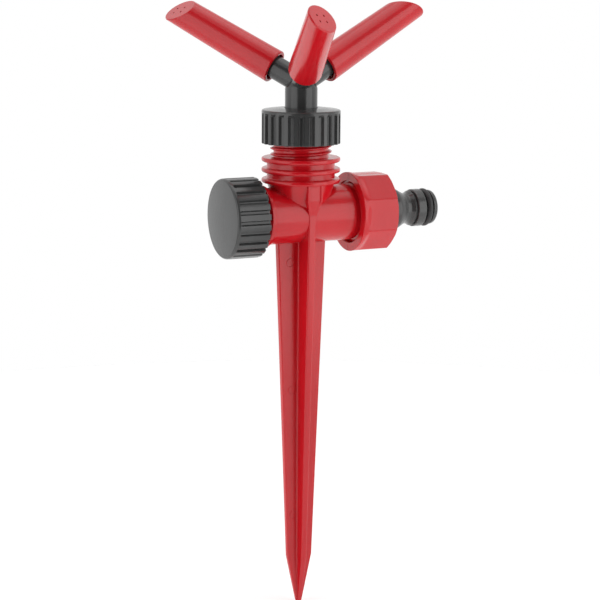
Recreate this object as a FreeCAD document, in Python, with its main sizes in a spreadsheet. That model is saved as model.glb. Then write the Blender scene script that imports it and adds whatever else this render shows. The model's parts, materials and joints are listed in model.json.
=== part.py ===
import FreeCAD, Part
import math
import os
import Sketcher

# A rotary garden sprinkler on a ground spike. Lengths are in millimetres and angles in degrees.
# +Z is up, +X runs along the tee's tube towards the hose inlet, and -Y is the front.
# Every sub-part is drawn about the tee's centre, where the tube's axis meets the spike's axis,
# and is then lifted by tee_height, so that the origin lies on the spike's axis at soil level.
SIZES = {
    # tee
    "tee_height": 20.0,
    "tube_radius": 12.15,
    "tube_left": 17.2,
    "tube_right": 21.2,
    "bore_radius": 9.0,
    "stop_ring_radius": 13.2,
    "stop_ring_width": 1.9,
    "left_spigot_end": 33.7,
    "right_spigot_end": 32.4,
    # coarse right-hand threads, the same on all three spigots
    "thread_root": 11.8,
    "thread_crest": 13.2,
    "thread_pitch": 2.5,
    "ridge_base": 1.7,
    "ridge_crest": 0.5,
    "ridge_bite": 0.15,
    "thread_lead": 1.0,
    "thread_clear": 1.6,
    "nut_bore": 13.55,
    "nut_crest": 12.1,
    "nut_seat": 12.25,
    "seal_radius": 12.0,
    # neck
    "cone_low_radius": 10.6,
    "cone_low": 1.2,
    "neck_radius": 14.6,
    "fin_radius": 16.9,
    "fin_thickness": 1.9,
    "fin_first": 14.05,
    "fin_step": 4.5,
    "fin_count": 3.0,
    "fin_round": 0.8,
    "neck_rim": 37.4,
    "neck_thread_start": 25.05,
    "boss_width": 7.0,
    "boss_front": 14.7,
    "boss_low": 1.0,
    "boss_shoulder": 7.4,
    "rib_front": 12.4,
    # spike
    "spike_top": 2.0,
    "spike_top_half": 11.65,
    "spike_top_depth": 12.1,
    "spike_top_web": 3.4,
    "spike_knee": 152.6,
    "spike_knee_half": 5.85,
    "spike_knee_web": 2.4,
    "spike_tip": 173.2,
    "spike_tip_half": 1.4,
    "spike_tip_web": 1.6,
    "pin_mark_radius": 1.8,
    "pin_mark_depth": 0.2,
    "pin_mark_first": 20.5,
    "pin_mark_step": 56.5,
    "pin_mark_across": 0.5,
    # end cap
    "cap_radius": 17.15,
    "cap_rim": 21.3,
    "cap_edge": 36.4,
    "cap_face": 37.2,
    "cap_floor": 35.2,
    "cap_round": 1.3,
    "cap_band": 2.1,
    # inlet nut
    "nut_rim": 22.6,
    "nut_rim_radius": 17.2,
    "nut_flat_start": 24.6,
    "nut_corner_radius": 17.45,
    "nut_flat": 16.15,
    "nut_chamfer": 0.7,
    "nut_round": 0.5,
    "nut_end": 39.3,
    "nut_floor": 36.6,
    "nut_hole": 9.3,
    "nut_turn": 22.5,
    "nut_flats": 8.0,
    # hose nipple
    "flange_start": 34.4,
    "flange_end": 36.5,
    "nipple_root": 9.1,
    "root_end": 45.0,
    "nipple_waist": 6.8,
    "waist_start": 49.2,
    "waist_end": 51.0,
    "flare_radius": 7.7,
    "barrel_start": 53.9,
    "barrel_radius": 8.3,
    "barrel_round": 0.4,
    "seal_groove_start": 57.9,
    "seal_groove_end": 61.9,
    "seal_groove_radius": 5.45,
    "tip_radius": 7.6,
    "tip_end": 64.0,
    "tip_round": 1.9,
    "nipple_bore": 4.2,
    "inlet_gasket_bore": 6.6,
    # collar nut
    "collar_radius": 16.9,
    "collar_bottom": 30.8,
    "collar_shoulder": 45.1,
    "collar_top": 46.0,
    "collar_top_radius": 9.0,
    "collar_round": 0.8,
    "collar_band": 1.5,
    "collar_seat": 40.3,
    "collar_chamber": 10.4,
    "collar_ceiling": 43.6,
    "collar_hole": 7.15,
    "collar_thread_start": 33.8,
    # grip flutes of the cap and the collar nut
    "flute_count": 24.0,
    "flute_radius": 1.05,
    "flute_depth": 0.95,
    "seat_gap": 0.4,
    "overcut": 1.0,
    # bearing stack
    "neck_gasket_thickness": 1.3,
    "insert_bottom": 28.0,
    "insert_radius": 8.8,
    "insert_bore": 5.56,
    "stem_collar_bottom": 40.5,
    "stem_collar_radius": 9.75,
    "washer_bottom": 42.55,
    "washer_thickness": 1.0,
    "washer_inner": 7.25,
    "washer_outer": 10.2,
    # rotor
    "tail_radius": 5.5,
    "tail_bottom": 27.0,
    "stem_bottom": 42.5,
    "stem_radius": 6.95,
    "stem_top": 54.6,
    "hub_crown": 60.4,
    "crown_radius": 4.2,
    "stem_bore": 3.3,
    "stem_seal_height": 33.8,
    "stem_seal_groove": 4.3,
    "stem_seal_width": 1.6,
    "arm_height": 56.5,
    "arm_elevation": 27.2,
    "arm_radius": 5.0,
    "arm_length": 26.0,
    "arm_chamfer": 0.6,
    "arm_bore": 2.6,
    "arm_seal_distance": 20.0,
    "arm_seal_groove": 3.9,
    "arm_seal_width": 1.5,
    "arm_azimuth": 12.7,
    "arm_count": 3.0,
    # nozzle tubes, measured along the arm from the hub's centre
    "nozzle_start": 13.75,
    "nozzle_mouth": 6.0,
    "nozzle_mouth_end": 17.0,
    "nozzle_socket_end": 27.0,
    "nozzle_open_radius": 7.3,
    "nozzle_far_radius": 6.35,
    "nozzle_bore": 5.06,
    "nozzle_waterway": 4.7,
    "nozzle_taper": 0.3,
    "nozzle_length": 57.2,
    "nozzle_bevel": 46.0,
    "nozzle_roll_1": 44.0,
    "nozzle_roll_2": 47.0,
    "nozzle_roll_3": 23.0,
    "nozzle_wall": 1.7,
    "nozzle_round": 0.5,
    "jet_radius": 0.5,
    "jet_along": 2.6,
    "jet_across": 1.45,
}

# seal rings: mean radius and section radius
SEALS = {
    "nipple_seal_mean": 6.93,
    "nipple_seal_section": 1.4,
    "stem_seal_mean": 4.93,
    "stem_seal_section": 0.6,
    "arm_seal_mean": 4.46,
    "arm_seal_section": 0.53,
}

doc = FreeCAD.newDocument("Sprinkler")
sheet = doc.addObject("Spreadsheet::Sheet", "Sizes")
nodes = []


class Size:
    """A length that remembers the spreadsheet expression which gives it."""

    def __init__(self, value, text):
        self.value = value
        self.text = text

    def _join(self, other, sign, value):
        other_text = other.text if isinstance(other, Size) else repr(float(other))
        return Size(value, f"({self.text} {sign} {other_text})")

    def __add__(self, other):
        return self._join(other, "+", self.value + number(other))

    def __sub__(self, other):
        return self._join(other, "-", self.value - number(other))

    def __mul__(self, other):
        return self._join(other, "*", self.value * number(other))

    def __truediv__(self, other):
        return self._join(other, "/", self.value / number(other))

    def __neg__(self):
        return Size(-self.value, f"(-1 * {self.text})")


def number(size):
    return size.value if isinstance(size, Size) else float(size)


class Table:
    """The spreadsheet's cells, each read by its alias as a Size."""

    def __getattr__(self, alias):
        return Size((SIZES | SEALS)[alias], f"Sizes.{alias}")


def fill_sheet():
    for row, (alias, value) in enumerate((SIZES | SEALS).items(), start=1):
        sheet.set(f"A{row}", alias)
        sheet.set(f"B{row}", str(value))
        sheet.setAlias(f"B{row}", alias)
    doc.recompute()


size = Table()


def bind(item, path, value):
    """Tie one property of an object to the spreadsheet."""
    item.setExpression(path, value.text)


def keep(item, label):
    """Name a finished sub-part and lift it from the tee's frame to the object's frame."""
    item.Label = label
    bind(item, "Placement.Base.z", size.tee_height)
    nodes.append(item)
    return item


def new_body(label):
    return keep(doc.addObject("PartDesign::Body", "Body_" + label), label)


def origin_item(body, role):
    return next(feature for feature in body.Origin.OriginFeatures if feature.Role == role)


def new_sketch(body, name, role="XZ_Plane"):
    sketch = body.newObject("Sketcher::SketchObject", name)
    sketch.AttachmentSupport = (origin_item(body, role), [""])
    sketch.MapMode = "FlatFace"
    return sketch


def pin_point(sketch, line, axis, value):
    """Fix one coordinate of a line's first point, from the spreadsheet or on the sketch's axis."""
    if isinstance(value, Size):
        index = sketch.addConstraint(Sketcher.Constraint("Distance" + axis, -1, 1, line, 1, value.value))
        sketch.renameConstraint(index, f"{axis.lower()}{line}")
        bind(sketch, f"Constraints.{axis.lower()}{line}", value)
    else:
        sketch.addConstraint(Sketcher.Constraint("PointOnObject", line, 1, -2 if axis == "X" else -1))


def polygon(sketch, points):
    """Draw a closed outline whose corners are all bound to the spreadsheet."""
    corners = [FreeCAD.Vector(number(x), number(y), 0) for x, y in points]
    count = len(points)
    for index, corner in enumerate(corners):
        sketch.addGeometry(Part.LineSegment(corner, corners[(index + 1) % count]), False)
    for index in range(count):
        sketch.addConstraint(Sketcher.Constraint("Coincident", index, 2, (index + 1) % count, 1))
    for index, (x, y) in enumerate(points):
        pin_point(sketch, index, "X", x)
        pin_point(sketch, index, "Y", y)
    return sketch


def circle(sketch, x, y, radius):
    """Draw a circle with its centre and radius bound to the spreadsheet."""
    centre = FreeCAD.Vector(number(x), number(y), 0)
    line = sketch.addGeometry(Part.Circle(centre, FreeCAD.Vector(0, 0, 1), radius.value), False)
    for axis, value in (("X", x), ("Y", y)):
        if isinstance(value, Size):
            index = sketch.addConstraint(Sketcher.Constraint("Distance" + axis, -1, 1, line, 3, value.value))
            sketch.renameConstraint(index, "centre" + axis)
            bind(sketch, "Constraints.centre" + axis, value)
        else:
            sketch.addConstraint(Sketcher.Constraint("PointOnObject", line, 3, -2 if axis == "X" else -1))
    index = sketch.addConstraint(Sketcher.Constraint("Radius", line, radius.value))
    sketch.renameConstraint(index, "radius")
    bind(sketch, "Constraints.radius", radius)
    return sketch


def turned(body, name, kind, axis, points):
    """Turn an outline about the body's X axis ("H_Axis") or Z axis ("V_Axis")."""
    sketch = polygon(new_sketch(body, name + "_outline"), points)
    feature = body.newObject("PartDesign::" + kind, name)
    feature.Profile = sketch
    feature.ReferenceAxis = (sketch, [axis])
    feature.Angle = 360
    return feature


def soften(body, name, feature, corners, radius):
    """Round the circular edges which an outline's corners have left on a turned feature."""
    doc.recompute()
    spots = [Part.Vertex(number(x), 0, number(y)) for x, y in corners]
    found = []
    for index, edge in enumerate(feature.Shape.Edges, start=1):
        if isinstance(edge.Curve, Part.Circle) and any(edge.distToShape(spot)[0] < 0.001 for spot in spots):
            found.append(f"Edge{index}")
    if len(found) != len(corners):
        raise RuntimeError(f"{body.Label} {name} found {len(found)} edges")
    fillet = body.newObject("PartDesign::Fillet", name)
    fillet.Base = (feature, found)
    bind(fillet, "Radius", radius)
    doc.recompute()
    return fillet


def thread_ridge(body, name, axis, start, base, crest, turns):
    """Wind a trapezoid ridge along the axis from start; base and crest are its radii."""
    wide = size.ridge_base / 2
    narrow = size.ridge_crest / 2
    points = [(start - wide, base), (start - narrow, crest), (start + narrow, crest), (start + wide, base)]
    if axis == "V_Axis":
        points = [(radius, along) for along, radius in points]
    sketch = polygon(new_sketch(body, name + "_section"), points)
    ridge = body.newObject("PartDesign::AdditiveHelix", name)
    ridge.Profile = sketch
    ridge.ReferenceAxis = (sketch, [axis])
    ridge.Mode = 0
    bind(ridge, "Pitch", size.thread_pitch)
    bind(ridge, "Height", size.thread_pitch * turns)
    return ridge


def male_ridge(body, name, axis, start, turns):
    thread_ridge(body, name, axis, start, size.thread_root - size.ridge_bite, size.thread_crest, turns)


def female_ridge(body, name, axis, start, turns):
    thread_ridge(body, name, axis, start, size.nut_bore + size.ridge_bite, size.nut_crest, turns)


def cut_checked(body, feature):
    """Recompute, and stop if a cutting feature removed nothing."""
    doc.recompute()
    if "Invalid" in feature.State or feature.Shape.Volume > feature.BaseFeature.Shape.Volume - 0.01:
        raise RuntimeError(f"{body.Label} {feature.Name} cut nothing")


def repeat(body, name, feature, axis_role, count):
    """Repeat a feature evenly about one of the body's axes."""
    pattern = body.newObject("PartDesign::PolarPattern", name)
    pattern.Originals = [feature]
    pattern.Axis = (origin_item(body, axis_role), [""])
    pattern.Angle = 360
    bind(pattern, "Occurrences", count)
    body.Tip = pattern
    return pattern


def ring_body(label, axis, inner, outer, start, end):
    """A plain ring with a rectangular section."""
    body = new_body(label)
    points = [(start, inner), (end, inner), (end, outer), (start, outer)]
    if axis == "V_Axis":
        points = [(radius, along) for along, radius in points]
    turned(body, "ring", "Revolution", axis, points)
    return body


def seal_ring(label, mean, section, centre, axis):
    """A round-section rubber ring about the given axis."""
    ring = doc.addObject("Part::Torus", "Seal_" + label)
    bind(ring, "Radius1", mean)
    bind(ring, "Radius2", section)
    turn = FreeCAD.Rotation(FreeCAD.Vector(0, 0, 1), axis)
    ring.Placement = FreeCAD.Placement(centre + FreeCAD.Vector(0, 0, size.tee_height.value), turn)
    ring.Label = label
    nodes.append(ring)
    return ring


def spike_section(body, name, depth, half, reach, web):
    """A cross-shaped section of the spike: flanges half wide, ribs reaching front and back."""
    w = web / 2
    points = [(w, w), (half, w), (half, -w), (w, -w), (w, -reach), (-w, -reach)]
    points += [(-w, -w), (-half, -w), (-half, w), (-w, w), (-w, reach), (w, reach)]
    sketch = polygon(new_sketch(body, name, "XY_Plane"), points)
    bind(sketch, "AttachmentOffset.Base.z", -depth)
    return sketch


def between(first, last, share):
    """The value that lies the given share of the way from one size to another."""
    return SIZES[first] + share * (SIZES[last] - SIZES[first])


def add_spike(body):
    top = spike_section(body, "spike_top_section", size.spike_top, size.spike_top_half,
                        size.spike_top_depth, size.spike_top_web)
    knee = spike_section(body, "spike_knee_section", size.spike_knee, size.spike_knee_half,
                         size.spike_knee_half, size.spike_knee_web)
    tip = spike_section(body, "spike_tip_section", size.spike_tip, size.spike_tip_half,
                        size.spike_tip_half, size.spike_tip_web)
    blade = body.newObject("PartDesign::AdditiveLoft", "blade")
    blade.Profile = top
    blade.Sections = [knee]
    blade.Ruled = True
    point = body.newObject("PartDesign::AdditiveLoft", "point")
    point.Profile = knee
    point.Sections = [tip]
    point.Ruled = True
    nose = body.newObject("PartDesign::AdditiveSphere", "nose")
    bind(nose, "Radius", size.spike_tip_half)
    nose.AttachmentSupport = (origin_item(body, "XY_Plane"), [""])
    nose.MapMode = "FlatFace"
    bind(nose, "AttachmentOffset.Base.z", -size.spike_tip)


def add_boss(body):
    """A tongue under the fins, which narrows into the spike's front rib across the tube."""
    stations = (
        (-size.spike_top, size.spike_top_web / 2, size.rib_front),
        (size.boss_low, size.spike_top_web / 2, size.rib_front),
        (size.boss_shoulder, size.boss_width / 2, size.boss_front),
        (size.fin_first + size.fin_thickness / 2, size.boss_width / 2, size.boss_front))
    sketches = []
    for index, (height, half, front) in enumerate(stations, start=1):
        sketch = polygon(new_sketch(body, f"boss_section_{index}", "XY_Plane"), [
            (-half, -size.bore_radius), (-half, -front), (half, -front), (half, -size.bore_radius)])
        bind(sketch, "AttachmentOffset.Base.z", height)
        sketches.append(sketch)
    boss = body.newObject("PartDesign::AdditiveLoft", "boss")
    boss.Profile = sketches[0]
    boss.Sections = sketches[1:]
    boss.Ruled = True


def add_pin_marks(body):
    """Shallow round marks of the mould's ejector pins on the left flange's front face."""
    for index in range(3):
        depth = SIZES["pin_mark_first"] + index * SIZES["pin_mark_step"]
        share = (depth - SIZES["spike_top"]) / (SIZES["spike_knee"] - SIZES["spike_top"])
        half_web = between("spike_top_web", "spike_knee_web", share) / 2
        across = between("spike_top_half", "spike_knee_half", share) * SIZES["pin_mark_across"]
        sketch = new_sketch(body, f"pin_mark_{index + 1}_outline")
        centre = FreeCAD.Vector(-across, -depth, 0)
        sketch.addGeometry(Part.Circle(centre, FreeCAD.Vector(0, 0, 1), SIZES["pin_mark_radius"]), False)
        sketch.AttachmentOffset = FreeCAD.Placement(
            FreeCAD.Vector(0, 0, half_web - SIZES["pin_mark_depth"]), FreeCAD.Rotation())
        mark = body.newObject("PartDesign::Pocket", f"pin_mark_{index + 1}")
        mark.Profile = sketch
        mark.Reversed = True
        mark.Length = 2 * SIZES["pin_mark_depth"]
        cut_checked(body, mark)


def make_spike_body():
    """The main red moulding: spike, tee tube, neck with fins, and three threaded spigots."""
    body = new_body("spike_body")
    ring_start = -size.tube_left - size.stop_ring_width
    turned(body, "tube", "Revolution", "H_Axis", [
        (-size.left_spigot_end, 0), (-size.left_spigot_end, size.thread_root),
        (ring_start, size.thread_root), (ring_start, size.stop_ring_radius),
        (-size.tube_left, size.stop_ring_radius), (-size.tube_left, size.tube_radius),
        (size.tube_right, size.tube_radius), (size.tube_right, size.thread_root),
        (size.right_spigot_end, size.thread_root), (size.right_spigot_end, 0)])
    outline = [(0, size.cone_low), (size.cone_low_radius, size.cone_low)]
    fin_edges = []
    for fin in range(int(SIZES["fin_count"])):
        low = size.fin_first + size.fin_step * fin
        high = low + size.fin_thickness
        outline += [(size.neck_radius, low), (size.fin_radius, low), (size.fin_radius, high), (size.neck_radius, high)]
        fin_edges += [(size.fin_radius, low), (size.fin_radius, high)]
    outline[-1] = (size.thread_root, high)
    outline += [(size.thread_root, size.neck_rim), (0, size.neck_rim)]
    neck = turned(body, "neck", "Revolution", "V_Axis", outline)
    soften(body, "fin_rounds", neck, fin_edges, size.fin_round)
    add_boss(body)
    add_spike(body)
    male_ridge(body, "neck_thread", "V_Axis", size.neck_thread_start, 4.5)
    male_ridge(body, "left_thread", "H_Axis", -size.left_spigot_end + size.thread_lead, 4.5)
    male_ridge(body, "right_thread", "H_Axis", size.tube_right + size.thread_clear, 3.5)
    cut_checked(body, turned(body, "tube_bore", "Groove", "H_Axis", [
        (-size.left_spigot_end - size.overcut, 0), (-size.left_spigot_end - size.overcut, size.bore_radius),
        (size.right_spigot_end + size.overcut, size.bore_radius), (size.right_spigot_end + size.overcut, 0)]))
    cut_checked(body, turned(body, "neck_bore", "Groove", "V_Axis", [
        (0, 0), (size.bore_radius, 0),
        (size.bore_radius, size.neck_rim + size.overcut), (0, size.neck_rim + size.overcut)]))
    add_pin_marks(body)


def flute(body, name, role, radius, start, end, axis_role):
    """Cut one rounded grip flute along the axis and repeat it round the body."""
    distance = radius + size.flute_radius - size.flute_depth
    sketch = circle(new_sketch(body, name + "_outline", role), 0, distance, size.flute_radius)
    bind(sketch, "AttachmentOffset.Base.z", (start + end) / 2)
    pocket = body.newObject("PartDesign::Pocket", name)
    pocket.Profile = sketch
    pocket.SideType = "Symmetric"
    bind(pocket, "Length", end - start)
    cut_checked(body, pocket)
    repeat(body, name + "_pattern", pocket, axis_role, size.flute_count)


def make_end_cap():
    """Ribbed cap with a low domed face, which blanks the left spigot."""
    body = new_body("end_cap")
    step = size.left_spigot_end + size.seat_gap
    shell = turned(body, "shell", "Revolution", "H_Axis", [
        (-size.cap_face, 0), (-size.cap_face, size.cap_radius / 2), (-size.cap_edge, size.cap_radius),
        (-size.cap_rim, size.cap_radius), (-size.cap_rim, size.nut_bore), (-step, size.nut_bore),
        (-step, size.nut_seat), (-size.cap_floor, size.nut_seat), (-size.cap_floor, 0)])
    soften(body, "face_round", shell, [(-size.cap_edge, size.cap_radius)], size.cap_round)
    start = -size.left_spigot_end + size.thread_lead + size.thread_pitch / 2
    female_ridge(body, "thread", "H_Axis", start, 3)
    doc.recompute()
    flute(body, "flute", "YZ_Plane", size.cap_radius, -size.cap_face + size.cap_band,
          -size.cap_rim + size.overcut, "X_Axis")


def make_end_cap_gasket():
    ring_body("end_cap_gasket", "H_Axis", 0, size.seal_radius, -size.cap_floor, -size.left_spigot_end)


def make_inlet_nut():
    """Octagonal coupling nut with a round rim, held on the nipple's flange."""
    body = new_body("inlet_nut")
    step = size.right_spigot_end + size.seat_gap
    blank = turned(body, "blank", "Revolution", "H_Axis", [
        (size.nut_rim, size.nut_bore), (size.nut_rim, size.nut_rim_radius),
        (size.nut_flat_start, size.nut_rim_radius), (size.nut_flat_start, size.nut_corner_radius),
        (size.nut_end - size.nut_chamfer, size.nut_corner_radius),
        (size.nut_end, size.nut_corner_radius - size.nut_chamfer * 1.6),
        (size.nut_end, size.nut_hole), (size.nut_floor, size.nut_hole),
        (size.nut_floor, size.nut_seat), (step, size.nut_seat), (step, size.nut_bore)])
    soften(body, "rim_round", blank, [(size.nut_rim, size.nut_rim_radius)], size.nut_round)
    start = size.tube_right + size.thread_clear + size.thread_pitch / 2
    female_ridge(body, "thread", "H_Axis", start, 2.5)
    doc.recompute()
    # the first flat lies beside a corner that stands nut_turn degrees above the front
    side = size.nut_corner_radius
    sketch = polygon(new_sketch(body, "flat_outline", "YZ_Plane"), [
        (-side, size.nut_flat), (side, size.nut_flat), (side, side * 1.5), (-side, side * 1.5)])
    middle = (size.nut_flat_start + size.nut_end + size.overcut) / 2
    half_step = 180.0 / SIZES["nut_flats"]
    sketch.AttachmentOffset = FreeCAD.Placement(
        FreeCAD.Vector(0, 0, middle.value),
        FreeCAD.Rotation(FreeCAD.Vector(0, 0, 1), half_step - SIZES["nut_turn"]))
    flat = body.newObject("PartDesign::Pocket", "flat")
    flat.Profile = sketch
    flat.SideType = "Symmetric"
    bind(flat, "Length", size.nut_end + size.overcut - size.nut_flat_start)
    cut_checked(body, flat)
    repeat(body, "flats", flat, "X_Axis", size.nut_flats)


def make_inlet_nipple():
    """Quick-connector nipple: flange inside the nut, waist, barrel, seal groove and rounded tip."""
    body = new_body("inlet_nipple")
    nipple = turned(body, "nipple", "Revolution", "H_Axis", [
        (size.flange_start, size.nipple_bore), (size.flange_start, size.seal_radius),
        (size.flange_end, size.seal_radius), (size.flange_end, size.nipple_root),
        (size.root_end, size.nipple_root), (size.waist_start, size.nipple_waist),
        (size.waist_end, size.nipple_waist), (size.barrel_start - size.barrel_round, size.flare_radius),
        (size.barrel_start, size.barrel_radius), (size.seal_groove_start, size.barrel_radius),
        (size.seal_groove_start, size.seal_groove_radius), (size.seal_groove_end, size.seal_groove_radius),
        (size.seal_groove_end, size.tip_radius), (size.tip_end, size.tip_radius),
        (size.tip_end, size.nipple_bore)])
    soften(body, "tip_round", nipple, [(size.tip_end, size.tip_radius)], size.tip_round)


def make_inlet_gasket():
    ring_body("inlet_gasket", "H_Axis", size.inlet_gasket_bore, size.seal_radius, size.right_spigot_end,
              size.flange_start)


def make_collar_nut():
    """Ribbed nut on the neck, with a low domed top and a hole for the rotor's stem."""
    body = new_body("collar_nut")
    step = size.neck_rim + size.seat_gap
    shell = turned(body, "shell", "Revolution", "V_Axis", [
        (size.nut_bore, size.collar_bottom), (size.collar_radius, size.collar_bottom),
        (size.collar_radius, size.collar_shoulder), (size.collar_top_radius, size.collar_top),
        (size.collar_hole, size.collar_top), (size.collar_hole, size.collar_ceiling),
        (size.collar_chamber, size.collar_ceiling), (size.collar_chamber, size.collar_seat),
        (size.nut_seat, size.collar_seat), (size.nut_seat, step), (size.nut_bore, step)])
    soften(body, "top_round", shell, [(size.collar_radius, size.collar_shoulder)], size.collar_round)
    female_ridge(body, "thread", "V_Axis", size.collar_thread_start, 1.25)
    doc.recompute()
    flute(body, "flute", "XY_Plane", size.collar_radius, size.collar_bottom - size.overcut,
          size.collar_shoulder - size.collar_band, "Z_Axis")


def make_bearing_stack():
    """The parts that the collar nut clamps on the neck's rim, and the ring on the stem's tail."""
    gasket_top = size.neck_rim + size.neck_gasket_thickness
    ring_body("neck_gasket", "V_Axis", size.bore_radius, size.seal_radius, size.neck_rim, gasket_top)
    insert = new_body("bearing_insert")
    turned(insert, "insert", "Revolution", "V_Axis", [
        (size.insert_bore, size.insert_bottom), (size.insert_radius, size.insert_bottom),
        (size.insert_radius, gasket_top), (size.seal_radius, gasket_top),
        (size.seal_radius, size.collar_seat), (size.insert_bore, size.collar_seat)])
    ring_body("thrust_washer", "V_Axis", size.washer_inner, size.washer_outer, size.washer_bottom,
              size.washer_bottom + size.washer_thickness)
    ring_body("stem_collar", "V_Axis", size.tail_radius, size.stem_collar_radius, size.stem_collar_bottom,
              size.stem_bottom)


def arm_sketch(body, name, points):
    """An outline beside one arm's own axis, whose H axis leans up from the hub's centre."""
    sketch = polygon(new_sketch(body, name), points)
    lean = FreeCAD.Rotation(FreeCAD.Vector(0, 0, 1), size.arm_elevation.value)
    sketch.AttachmentOffset = FreeCAD.Placement(FreeCAD.Vector(0, size.arm_height.value, 0), lean)
    return sketch


def make_rotor_hub():
    """Hollow stem with three upward arms; each arm has a seal groove near its end."""
    body = new_body("rotor_hub")
    body.Placement = FreeCAD.Placement(
        FreeCAD.Vector(), FreeCAD.Rotation(FreeCAD.Vector(0, 0, 1), size.arm_azimuth.value))
    half = size.stem_seal_width / 2
    turned(body, "stem", "Revolution", "V_Axis", [
        (0, size.tail_bottom), (size.tail_radius, size.tail_bottom),
        (size.tail_radius, size.stem_seal_height - half), (size.stem_seal_groove, size.stem_seal_height - half),
        (size.stem_seal_groove, size.stem_seal_height + half), (size.tail_radius, size.stem_seal_height + half),
        (size.tail_radius, size.stem_bottom), (size.stem_radius, size.stem_bottom),
        (size.stem_radius, size.stem_top), (size.crown_radius, size.hub_crown), (0, size.hub_crown)])
    half = size.arm_seal_width / 2
    arm = body.newObject("PartDesign::Revolution", "arm")
    arm.Profile = arm_sketch(body, "arm_outline", [
        (0, 0), (0, size.arm_radius), (size.arm_seal_distance - half, size.arm_radius),
        (size.arm_seal_distance - half, size.arm_seal_groove),
        (size.arm_seal_distance + half, size.arm_seal_groove),
        (size.arm_seal_distance + half, size.arm_radius),
        (size.arm_length - size.arm_chamfer, size.arm_radius),
        (size.arm_length, size.arm_radius - size.arm_chamfer),
        (size.arm_length, 0)])
    arm.ReferenceAxis = (arm.Profile[0], ["H_Axis"])
    arm.Angle = 360
    repeat(body, "arms", arm, "Z_Axis", size.arm_count)
    doc.recompute()
    cut_checked(body, turned(body, "stem_bore", "Groove", "V_Axis", [
        (0, size.tail_bottom - size.overcut), (size.stem_bore, size.tail_bottom - size.overcut),
        (size.stem_bore, size.arm_height), (0, size.arm_height)]))
    waterway = body.newObject("PartDesign::Groove", "arm_bore")
    waterway.Profile = arm_sketch(body, "arm_bore_outline", [
        (0, 0), (0, size.arm_bore), (size.arm_length + size.overcut, size.arm_bore),
        (size.arm_length + size.overcut, 0)])
    waterway.ReferenceAxis = (waterway.Profile[0], ["H_Axis"])
    waterway.Angle = 360
    cut_checked(body, waterway)
    repeat(body, "arm_bores", waterway, "Z_Axis", size.arm_count)


def arm_frame(index):
    """The placement whose Z axis runs along arm number index and whose X axis is its nozzle's tilt."""
    azimuth = SIZES["arm_azimuth"] + 360.0 / SIZES["arm_count"] * index
    swing = FreeCAD.Rotation(FreeCAD.Vector(0, 0, 1), azimuth)
    lean = FreeCAD.Rotation(FreeCAD.Vector(0, 1, 0), 90.0 - SIZES["arm_elevation"])
    # with no roll the tube's bevel faces the turning direction, and each tube is set a little differently
    roll = FreeCAD.Rotation(FreeCAD.Vector(0, 0, 1), 90.0 + SIZES[f"nozzle_roll_{index + 1}"])
    centre = FreeCAD.Vector(0, 0, SIZES["arm_height"] + SIZES["tee_height"])
    return FreeCAD.Placement(centre, swing.multiply(lean).multiply(roll))


def along_arm(index, distance):
    return arm_frame(index).multVec(FreeCAD.Vector(0, 0, distance))


def bevel_box(name, distance):
    """A block above the plane that crosses the tube's axis at distance, tilted towards local X."""
    side = 40.0
    block = doc.addObject("Part::Box", name)
    block.Length = side
    block.Width = side
    block.Height = side
    tilt = FreeCAD.Rotation(FreeCAD.Vector(0, 1, 0), SIZES["nozzle_bevel"])
    corner = tilt.multVec(FreeCAD.Vector(-side / 2, -side / 2, 0))
    block.Placement = FreeCAD.Placement(corner + FreeCAD.Vector(0, 0, distance), tilt)
    return block


def boolean(kind, name, base, tool):
    result = doc.addObject("Part::" + kind, name)
    result.Base = base
    result.Tool = tool
    return result


def rod(name, kind, start, length, radius, far_radius=None):
    """A cylinder or cone on the local Z axis, bound to the spreadsheet."""
    item = doc.addObject("Part::" + kind, name)
    bind(item, "Placement.Base.z", start)
    bind(item, "Height", length)
    if kind == "Cone":
        bind(item, "Radius1", radius)
        bind(item, "Radius2", far_radius)
    else:
        bind(item, "Radius", radius)
    return item


def jets(name, distance):
    """Jet holes square to the bevelled face."""
    tilt = FreeCAD.Rotation(FreeCAD.Vector(0, 1, 0), SIZES["nozzle_bevel"])
    holes = []
    for along in (-1, 1):
        for across in (-1, 1):
            hole = doc.addObject("Part::Cylinder", f"{name}_jet_{len(holes) + 1}")
            bind(hole, "Radius", size.jet_radius)
            bind(hole, "Height", size.nozzle_wall * 1.5)
            spot = FreeCAD.Vector(along * SIZES["jet_along"], across * SIZES["jet_across"],
                                  -1.2 * SIZES["nozzle_wall"])
            hole.Placement = FreeCAD.Placement(
                tilt.multVec(spot) + FreeCAD.Vector(0, 0, distance), tilt)
            holes.append(hole)
    group = doc.addObject("Part::MultiFuse", name + "_jets")
    group.Shapes = holes
    return group


def outer_rims(shape):
    """The numbers of the edges round the tube's open end and round its bevelled face."""
    limit = SIZES["nozzle_far_radius"] - 0.05
    found = []
    for index, edge in enumerate(shape.Edges, start=1):
        nearest = min(math.hypot(point.x, point.y) for point in edge.discretize(9))
        if nearest > limit and not isinstance(edge.Curve, Part.Line):
            found.append(index)
    return found


def nozzle_hollow(name, inside):
    """The tube's mouth, its socket for the arm, and the chamber behind the bevelled wall."""
    mouth_start = size.nozzle_start - size.overcut
    mouth = rod(name + "_mouth", "Cylinder", mouth_start, size.nozzle_mouth_end - mouth_start, size.nozzle_mouth)
    socket = rod(name + "_socket", "Cylinder", mouth_start, size.nozzle_socket_end - mouth_start, size.nozzle_bore)
    chamber_start = size.nozzle_socket_end - size.overcut
    chamber = rod(name + "_waterway", "Cone", chamber_start, size.nozzle_start + size.nozzle_length - chamber_start,
                  size.nozzle_waterway, size.nozzle_waterway - size.nozzle_taper)
    closed = boolean("Cut", name + "_chamber", chamber, bevel_box(name + "_inner_bevel", inside))
    hollow = doc.addObject("Part::MultiFuse", name + "_hollow")
    hollow.Shapes = [mouth, socket, closed]
    return hollow


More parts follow.
